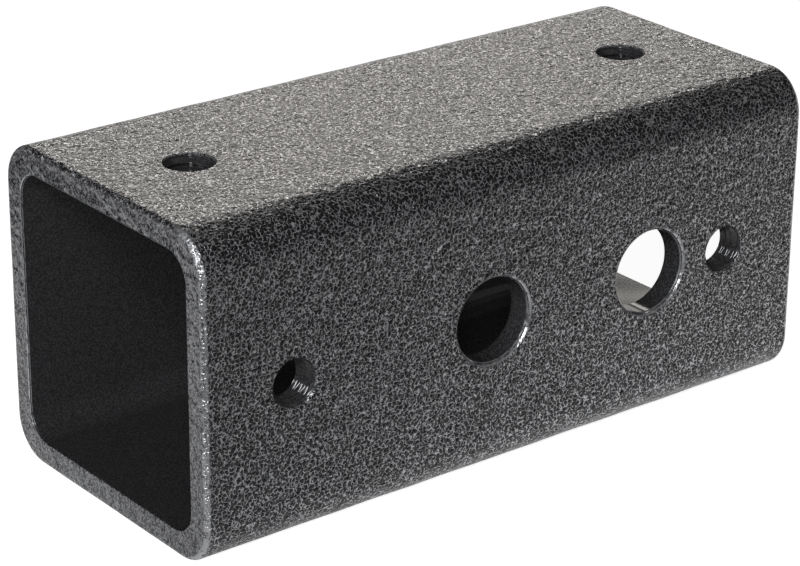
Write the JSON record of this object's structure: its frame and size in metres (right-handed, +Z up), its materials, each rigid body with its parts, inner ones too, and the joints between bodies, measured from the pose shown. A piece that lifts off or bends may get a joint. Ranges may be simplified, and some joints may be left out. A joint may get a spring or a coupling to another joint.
{
  "type": "hitch reducer sleeve",
  "caption": "Square steel tube that slides into a larger trailer hitch receiver and narrows it for a smaller shank, with cross bores for the hitch pin and tapped holes for set screws.",
  "frame": {"origin": "centre of the tube's box, on its long axis", "axes": "+X along the tube towards the end with the closer pin bore, the pin bores run along Y, the tapped side wall faces -Y, +Z up through the tapped top wall"},
  "size_m": [0.1396, 0.0628, 0.0628],
  "materials": {
    "powder_coat": "glossy hammered vein powder coat: near black raised cells parted by thin grey veins, also over the countersinks and threads of the tapped holes, thinner and near black inside the tube"
  },
  "bodies": {
    "root": {"sleeve_tube": "powder_coat"}
  },
  "joints": []
}
